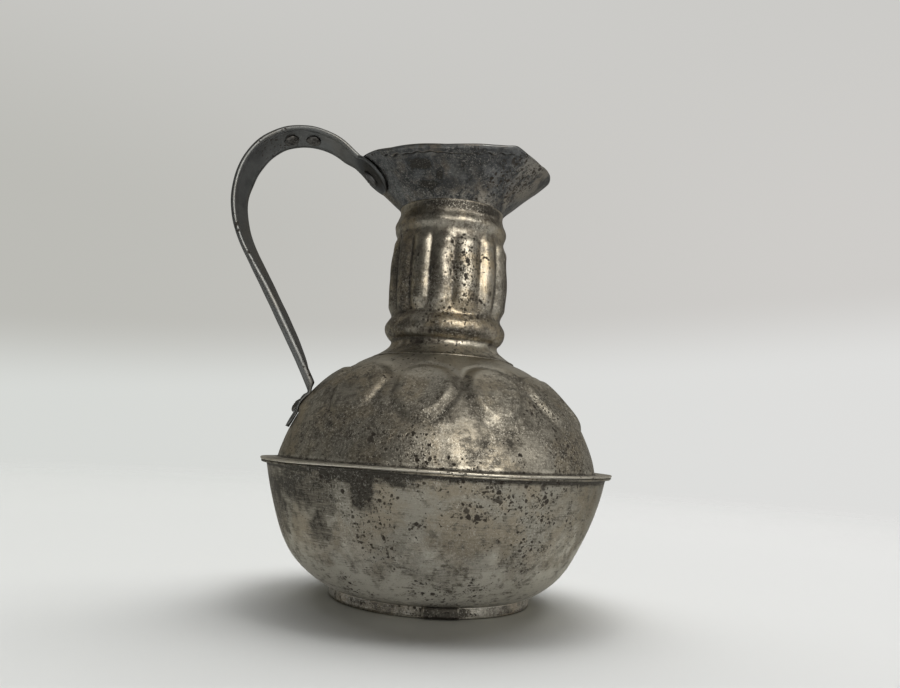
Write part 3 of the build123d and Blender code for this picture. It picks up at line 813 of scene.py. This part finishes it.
def strap_section(near_roll):
    """Closed section across the strap: its flat web, its far edge rounded, its near one rolled."""
    edge = np.radians(np.linspace(-90, 135, 10))
    far_roll = WEB / 2
    far, near = STRAP / 2 - far_roll, STRAP / 2 - near_roll
    right = np.c_[far + far_roll * np.cos(edge), far_roll + far_roll * np.sin(edge)]
    inside = np.linspace(far - far_roll * 0.9, -(near - near_roll * 0.9), 9)
    top = np.c_[inside, np.full(9, WEB)]
    left = np.c_[-near - near_roll * np.cos(edge), near_roll + near_roll * np.sin(edge)][::-1]
    bottom = np.c_[np.linspace(-near, far, 11)[1:-1], np.zeros(9)]
    return np.concatenate([right, top, left, bottom])


def on_cone(along, across, deep):
    """Places on the mouth's cone: so far up its wall, across the strap and deep into it."""
    out = TIN + deep
    reach = THROAT + along * COS + out * SIN
    return turned(reach, math.pi - across / reach, NECK_TOP + along * SIN - out * COS)


def on_dome(past, across, deep):
    """Places on the dome, over its medallions: so far past the bend, across and deep."""
    slope = corner_slope - past / PAD_REACH
    reach = PAD_REACH - deep
    radius = DOME_CENTRE[0] + reach * math.cos(slope)
    around = math.pi - across / radius
    lift = np.maximum(0, medallion_relief(around, np.full_like(around, slope)))
    height = DOME_CENTRE[1] + (reach + lift) * math.sin(slope)
    return turned(radius + lift * math.cos(slope), around, height)


def strap_skin():
    """The strap: a section with one rolled edge, swept from the leaf's tip to the pad's end."""
    path = strap_path()
    run = run_of(path)
    tangent = np.gradient(path, axis=0)
    tangent /= np.hypot(*tangent.T)[:, None]
    hollow = np.c_[-tangent[:, 1], tangent[:, 0]]
    wall_run = LEAF_TIP + run
    bend_at = run[np.argmin(np.hypot(*(path - corner).T))]

    # Half widths: the round leaf, the even strap, the pad with its rounded end
    beside = np.clip(1 - ((wall_run - LEAF_CENTRE) / (LEAF_LONG + 0.2)) ** 2, 0.0004, 1) ** 0.5
    to_end = np.clip((run[-1] - run) / PAD_ROUND, 0, 1)
    tip = 1 - (PAD_ROUND / (STRAP / 2)) * (1 - np.sqrt(np.clip(1 - (1 - to_end) ** 2, 0, 1)))

    def half_width(leaf_width):
        leaf = leaf_width * beside
        leaf = np.where(wall_run < LEAF_CENTRE, leaf, np.maximum(STRAP / 2, leaf))
        return np.where(wall_run < LEAF_CENTRE + LEAF_LONG, leaf, STRAP / 2) * tip

    near = half_width(NEAR_LEAF) * (1 + 0.018 * waves(51, 12, 0, 45.0)(0, run))
    far = half_width(FAR_LEAF)

    # The near edge is rolled between leaf and pad, and the roll is fatter along the stay
    roll = smoothstep(29.0, 36.0, wall_run) * (1 - smoothstep(bend_at - 3.0, bend_at + 0.5, run))
    fat = 0.95 * smoothstep(bend_at - 80, bend_at - 45, run) * (1 - smoothstep(bend_at - 3.5, bend_at, run))
    flat = strap_section(WEB / 2)
    twist = strap_twist(run)
    hammered = waves(53, 30, 3, 12.0)
    rows, grains = [], []
    for i, (x, z) in enumerate(path):
        shape = roll[i] * strap_section(ROLL_R + fat[i]) + (1 - roll[i]) * flat
        across = shape[:, 0] / (STRAP / 2) * np.where(shape[:, 0] < 0, near[i], far[i])
        deep = shape[:, 1] + 0.05 * hammered(across / 6, run[i]) * (shape[:, 1] > 0.1)
        if run[i] < 3.0:
            # The leaf's tip is thinner
            deep = WEB / 2 + (deep - WEB / 2) * (0.45 + 0.55 * smoothstep(0, 3, run[i]))
        pivot = -near[i]
        turned_y = pivot + (across - pivot) * math.cos(twist[i]) - deep * math.sin(twist[i])
        turned_n = (across - pivot) * math.sin(twist[i]) + deep * math.cos(twist[i])
        row = np.stack([x + turned_n * hollow[i, 0], turned_y, z + turned_n * hollow[i, 1]], -1)
        if wall_run[i] < 40:
            share = 1 - smoothstep(27.0, 39.0, wall_run[i])
            row = share * on_cone(wall_run[i], across, deep) + (1 - share) * row
        past = run[i] - bend_at
        if past > -1.5:
            share = smoothstep(-1.5, 2.5, past)
            row = share * on_dome(past, across, deep) + (1 - share) * row
        rows.append(row)
        grains.append(np.stack([np.full(len(shape), run[i]), np.zeros(len(shape)), shape[:, 0]], -1))
    points, grain = np.array(rows), np.array(grains)
    count = points.shape[1]
    body = ring_faces(len(rows), count)[: (len(rows) - 1) * count]
    middles = [points[0].mean(0), points[-1].mean(0)]
    points = np.concatenate([points.reshape(-1, 3), middles])
    grain = np.concatenate([grain.reshape(-1, 3), [grain[0, 0], grain[-1, 0]]])
    total = len(rows) * count
    ends = []
    for i in range(count):
        j = (i + 1) % count
        ends.append([total, j, i, i])
        ends.append([total + 1, total - count + i, total - count + j, total - count + j])
    return points, np.concatenate([body, np.array(ends)]), grain


def strap_seat(at, aside):
    """A place on the strap's hollow face, and the way that face looks, a run along the strap."""
    path = strap_path()
    run = run_of(path)
    i = int(np.argmin(abs(run - at)))
    tangent = path[i + 1] - path[i - 1]
    tangent /= np.hypot(*tangent)
    twist = float(strap_twist(run[i]))
    across = aside + STRAP / 2
    inward = across * math.sin(twist) + WEB * math.cos(twist)
    beside = across * math.cos(twist) - WEB * math.sin(twist) - STRAP / 2
    seat = np.array([path[i, 0] - inward * tangent[1], beside, path[i, 1] + inward * tangent[0]])
    face = np.array([-tangent[1] * math.cos(twist), -math.sin(twist), tangent[0] * math.cos(twist)])
    return seat, face


SHANK = 1.9  # radius


def rivet_skin(origin, out, head, height, grip, seed, tail):
    """Hammered rivet: a low faceted head on its seat, a shank, and a tail that may be spread."""
    top = [(0, 1.0), (0.55, 0.93), (0.88, 0.62)]
    line = [(head * wide, height * high) for wide, high in top] + [(head, 0.25), (head * 0.96, 0.0)]
    line = softened(line, 0.22, 0.3)
    line[0] = (0, line[0, 1])
    low = [(SHANK, 0.0), (SHANK, -grip)]
    if tail:
        low += [(SHANK + tail, -grip), (SHANK + tail * 0.8, -grip - 0.7)]
        low += [(SHANK * 0.7, -grip - 1.0), (0, -grip - 1.0)]
    else:
        low += [(0, -grip)]
    line = np.concatenate([line, resampled(low, 0.45)])
    turn = turn_grid(56)
    uneven = waves(seed, 16, 6, 5.0)
    wide, high = line[None, :, 0], line[None, :, 1]
    radius = wide * (1 + 0.035 * uneven(turn[:, None], wide) * (high > -0.05))
    raised = high * (1 + 0.06 * uneven(turn[:, None] + 1, wide * 2) * (high > 0.3))
    raised = np.where(wide == 0, high, raised)
    out = np.array(out, float) / np.linalg.norm(out)
    across = np.array([0.0, 1.0, 0.0]) - out[1] * out
    across /= np.linalg.norm(across)
    beside = np.cross(out, across)
    at = turned(radius, turn[:, None], raised)
    points = np.array(origin) + at[..., :1] * across + at[..., 1:2] * beside + at[..., 2:] * out
    points = points.reshape(-1, 3)
    return points, ring_faces(len(turn), len(line), close_columns=False), points


bowl_copper = tarnished(
    "bowl_copper",
    ((0.232, 0.219, 0.182), (0.118, 0.107, 0.086), (0.222, 0.195, 0.148), (0.48, 0.46, 0.41)),
    seed=1, pits=0.9, grit=0.6, streak=1.9, rough=0.42, cloud=0.20, glancing=0.45,
    stains_and_painted_shading=(
        ((-50, -66, 60), (30, 16, 6), 1.3),
        # Painted shadow: a dark line round the bowl just under the flange
        ((0, 0, 60.4), (240, 240, 1.5), 1.1),
        ((0, 0, 59.2), (240, 240, 1.3), 0.6),
        ((-45, -67, 52), (7, 6, 10), 1.0),
        ((-57, -46, 34), (9, 9, 8), 0.6),
        # Painted shade: the bowl's upper left darker
        ((-66, -42, 52), (34, 30, 11), 0.75),
        ((-30, -66, 58), (22, 14, 5), 0.5),
        ((-4, -69, 22), (12, 8, 5), 0.22),
        # Painted shade on the bowl's left edge, painted light on its right edge and lower right
        ((-78, -16, 42), (12, 50, 24), 0.45),
        ((78, -22, 40), (12, 36, 26), -0.25),
        ((60, -50, 30), (30, 30, 30), -0.12),
    ),
    crowds=(
        ((-22, -73, 42), (5, 8, 20), 0.8),
        ((-34, -72, 52), (8, 8, 7), 0.7),
        ((-2, -76, 42), (13, 8, 8), 0.9),
        ((31, -72, 47), (9, 9, 12), 0.55),
        ((9, -80, 56), (8, 5, 5), 0.7),
    ),
    rubbed_and_painted_light=(
        # Painted light: the bowl lighter towards the bottom, at the lower right and on the right edge
        ((0, 0, 4), (240, 240, 30), 1.0),
        ((66, -38, 24), (18, 30, 22), 0.6),
        ((80, -20, 44), (14, 30, 22), 0.7),
        # Painted highlight: a light streak on the left edge
        ((-75, -30, 52), (9, 12, 14), 0.5),
    ),
    rub_and_painted_light_tone=(0.47, 0.45, 0.385),
)
foot_copper = tarnished(
    "foot_copper",
    ((0.340, 0.325, 0.285), (0.150, 0.138, 0.116), (0.320, 0.280, 0.220), (0.62, 0.60, 0.54)),
    seed=8, pits=0.9, grit=0.9, streak=0.6, rough=0.50,
    stains_and_painted_shading=(((-4.5, -49, 2.5), (12, 5, 5), 1.7),),
)
dome_copper = tarnished(
    "dome_copper",
    ((0.250, 0.233, 0.195), (0.116, 0.105, 0.086), (0.262, 0.228, 0.172), (0.56, 0.53, 0.46)),
    seed=2, pits=0.95, streak=0.9, rough=0.46, cloud=0.42,
    stains_and_painted_shading=(
        # Painted shade: the dome's left side darker
        ((-62, -48, 82), (22, 26, 26), 0.22),
        ((14, -72, 78), (6, 8, 9), 0.35),
        # Painted shade dimming the highlight in front, and painted light on the dome's top
        ((2, -72, 73), (10, 10, 8), 0.22),
        ((0, -34, 110), (60, 40, 9), -0.55),
        ((-13, -63, 85), (11, 9, 8), 0.55),
        # Painted shade: the dome darker to the right
        ((44, -56, 80), (24, 22, 22), 0.20),
    ),
    crowds=(((-40, -62, 73), (12, 9, 8), 0.5), ((-13, -63, 88), (14, 10, 12), 0.5)),
    # The flange's worn top, and painted light on the dome's top, in the rub colour
    rubbed_and_painted_light=(((0, 0, 61.8), (240, 240, 2.8), 0.7), ((0, -34, 107), (60, 40, 8), 0.5)),
    rub_and_painted_light_tone=(0.56, 0.53, 0.455),
)
neck_copper = tarnished(
    "neck_copper",
    ((0.275, 0.255, 0.212), (0.118, 0.104, 0.084), (0.280, 0.235, 0.165), (0.58, 0.55, 0.48)),
    seed=7, pits=0.95, streak=0.2, rough=0.38, cloud=0.34,
    stains_and_painted_shading=(
        # Painted shade on the neck's left edge
        ((-27, -10, 150), (13, 15, 45), 0.45),
        ((-13, -26, 152), (3, 5, 17), 0.60),
        # Painted shade on the neck's right edge, and painted shadow under the low bead
        ((28, -9, 150), (8, 16, 45), 0.65),
        ((0, -29, 125), (30, 10, 2.2), 0.5),
        # Painted light: a lighter band round the waist
        ((0, 0, 119), (34, 34, 5), -0.35),
        ((4, -27, 187), (24, 14, 5), -0.10),
        ((0, -28, 188.8), (44, 16, 3.6), 1.2),
        # Painted shade dimming the highlight on the low bead
        ((4, -30, 127), (30, 10, 4), 0.22),
        ((16, -22, 184), (12, 9, 5), 0.5),
    ),
    crowds=(
        ((0, -27, 150), (30, 12, 26), 0.55),
        ((5, -28, 150), (9, 6, 22), 0.5),
        ((8, -27, 184), (16, 8, 7), 0.9),
    ),
    # Painted light round the waist, and a rubbed band near the top
    rubbed_and_painted_light=(((4, -26, 118), (34, 24, 5), 1.0), ((4, -27, 186), (26, 14, 5), 0.1)),
    rub_and_painted_light_tone=(0.62, 0.58, 0.49),
)
mouth_copper = tarnished(
    "mouth_copper",
    ((0.128, 0.131, 0.131), (0.053, 0.055, 0.057), (0.136, 0.118, 0.096), (0.34, 0.325, 0.29)),
    seed=3, streak=0.3, rough=0.42,
    stains_and_painted_shading=(
        ((-22, -31, 203), (6, 6, 2.2), 0.9),
        ((-19, -27, 195.5), (7, 6, 1.8), 1.0),
        ((-14, -32, 199), (2.2, 4, 4), 0.8),
        # Painted shade: the mouth darker on the left
        ((-35, -25, 204), (16, 16, 12), 0.30),
    ),
    crowds=(((28, -34, 205), (20, 16, 12), 1.2), ((-20, -28, 199), (7, 7, 5), 0.8)),
    # A warm worn band low on the cone, and painted light on the mouth's right side
    rubbed_and_painted_light=(((6, -20, 189), (26, 22, 7), 1.0), ((36, -28, 205), (18, 18, 13), 0.55)),
    rub_and_painted_light_tone=(0.29, 0.265, 0.22),
)
handle_copper = tarnished(
    "handle_copper",
    ((0.130, 0.133, 0.131), (0.063, 0.065, 0.066), (0.128, 0.126, 0.118), (0.30, 0.295, 0.28)),
    seed=4, pits=0.35, grit=0.15, streak=0.4, rough=0.50, cloud=0.28, uneven=0.25,
    stains_and_painted_shading=(((-42, -5, 205), (12, 16, 14), 0.8),),
)
rivet_copper = tarnished(
    "rivet_copper",
    ((0.095, 0.094, 0.093), (0.050, 0.050, 0.050), (0.090, 0.084, 0.076), (0.28, 0.27, 0.25)),
    seed=5, pits=0.2, grit=0.2, streak=0.0, rough=0.42, uneven=0.3,
)
solder = tarnished(
    "solder",
    ((0.32, 0.305, 0.265), (0.150, 0.140, 0.120), (0.30, 0.27, 0.21), (0.46, 0.44, 0.39)),
    seed=6, pits=0.6, grit=0.7, streak=0.0, rough=0.5,
)

make_piece("bowl", [bowl_skin()], "lower_bowl", bowl_copper)
make_piece("dome", [dome_skin()], "shoulder_dome", dome_copper)
make_piece("neck", [neck_skin()], "neck_tube", neck_copper)
make_piece("mouth", [mouth_skin()], "pouring_mouth", mouth_copper)
make_piece("foot", foot_skins(), "foot_band", foot_copper)
make_piece("strap", [strap_skin()], "handle_strap", handle_copper)


def rivet(node, seat, face, head, height, grip, seed, tail=1.4):
    skin = rivet_skin(seat, face, head, height, grip, seed, tail)
    make_piece(node + "_head", [skin], node, rivet_copper)


THROUGH = WEB + TIN + SHEET + 0.15
mouth_x, mouth_z = wall_place(22.0, TIN + WEB)
rivet("mouth_rivet", (mouth_x, 0, mouth_z), (-SIN, 0, -COS), 4.6, 2.0, THROUGH, 61)
slope = corner_slope - 7.6 / PAD_REACH
reach = PAD_REACH + max(0.0, float(medallion_relief(np.array([math.pi]), np.array([slope]))[0]))
seat = (-DOME_CENTRE[0] - reach * math.cos(slope), 0, DOME_CENTRE[1] + reach * math.sin(slope))
rivet("shoulder_rivet", seat, (-math.cos(slope), 0, math.sin(slope)), 3.8, 2.0, THROUGH, 62)
for name, at, seed in (("crown_rivet_front", 46.5, 63), ("crown_rivet_back", 59.5, 64)):
    rivet(name, *strap_seat(at, 1.4), 3.6, 1.5, WEB, seed, tail=0)

for name in ("foot_solder", "belly_solder", "neck_solder", "mouth_solder"):
    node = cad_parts[name]
    node.data.materials.clear()
    node.data.materials.append(solder)

# The paper under the jug, which fades into the background
floor_mesh = bpy.data.meshes.new("floor")
floor_mesh.from_pydata([(-9, -5, 0), (9, -5, 0), (0, 10, 0)], [], [(0, 1, 2)])
floor = new_object("floor", floor_mesh)
floor.location = (0, 0, -0.0002)
paper = bpy.data.materials.new("paper")
t = Tree(paper)
spot = t.new("ShaderNodeTexCoord").outputs["Object"]
# Painted light: the paper lighter to the right
painted_light_tint = t.mix(t.span(t.along(spot, right), -0.45, 0.45), (0.70, 0.71, 0.685), (0.76, 0.76, 0.745))
lay = t.new("ShaderNodeBsdfPrincipled", {"Base Color": painted_light_tint, "Roughness": 1.0, "Specular IOR Level": 0.0})
clear = t.new("ShaderNodeBsdfTransparent")
fade = t.span(t.length(spot), 0.40, 1.4)
blend = t.new("ShaderNodeMixShader", {0: fade, 1: lay.outputs[0], 2: clear.outputs[0]})
t.show(blend.outputs[0], "ShaderNodeOutputMaterial")
floor_mesh.materials.append(paper)

# The paper behind: as bright as the floor up to its bend, greyer above it and to the left
world = bpy.data.worlds.new("world")
scene.world = world
t = Tree(world)
direction = t.new("ShaderNodeTexCoord").outputs["Generated"]
height = t.new("ShaderNodeSeparateXYZ", {0: direction}).outputs[2]
aside = t.along(direction, right)
to_right = t.span(aside, -0.6, 0.6)
low_sky = t.mix(to_right, (0.675, 0.69, 0.665), (0.735, 0.735, 0.722))
high_sky = t.mix(to_right, (0.500, 0.497, 0.465), (0.625, 0.612, 0.592))
high_sky = t.mix(t.span(height, 0.25, 0.60), high_sky, (0.60, 0.595, 0.575))
rise = t.minus(height, t.times(aside, 0.09))
sky = t.mix(t.span(rise, 0.075, 0.175), low_sky, high_sky)
shown = t.new("ShaderNodeLightPath").outputs
# The room in front of the jug is darker than the paper, and only the metal's gloss shows it
ahead = t.along(direction, from_view(0.88, 0.48, 0))
room = t.times(t.span(ahead, -0.80, 0.0, 1.0, 0.0), shown["Is Glossy Ray"])
sky = t.mix(room, sky, t.mix(t.span(aside, -0.7, 0.5), (0.115, 0.115, 0.110), (0.235, 0.230, 0.215)))
seen = t.math("MAXIMUM", shown["Is Glossy Ray"], shown["Is Transmission Ray"])
seen = t.math("MAXIMUM", shown["Is Camera Ray"], seen)
colour = t.mix(seen, (0.09, 0.09, 0.09), sky)
background = t.new("ShaderNodeBackground", {"Color": colour, "Strength": 1.0})
t.show(background.outputs[0], "ShaderNodeOutputWorld")


SOFT = math.radians(42)


def add_light(name, kind, power):
    data = bpy.data.lights.new(name, kind)
    data.energy = power
    return new_object(name, data)


def area_light(name, at, size, power):
    light = add_light(name, "AREA", power)
    light.data.shape = "RECTANGLE"
    light.data.size, light.data.size_y = size
    light.location = at
    light.visible_diffuse = False
    return light


def overhead(name, way, power):
    """A lamp far above, wide enough for soft shadows; the metal doesn't mirror it."""
    light = add_light(name, "SUN", power)
    light.data.angle = SOFT
    light.rotation_euler = way.to_track_quat("-Z", "Y").to_euler()
    light.visible_glossy = False


key = area_light("key", from_view(-0.80, 0.42, 0.58), (0.52, 0.62), 8.9)
key.data.color = (1.0, 0.965, 0.90)
key.rotation_euler = (Vector((0, 0, 0.1)) - key.location).to_track_quat("-Z", "Y").to_euler()

overhead("top", from_view(-0.42, 0, -1), 1.00)
overhead("top_left", from_view(-0.36, 0.31, -1), 0.85)
overhead("top_right", from_view(-0.36, -0.31, -1), 1.45)

# The pale paper in front of the jug, as its haunch mirrors it
bounce = area_light("bounce", from_view(-0.13, -0.03, 0.001), (0.52, 0.30), 0.135)
bounce.rotation_euler = (math.pi, 0, math.atan2(right[1], right[0]))
bounce.visible_camera = False

scene.view_settings.view_transform = "Standard"
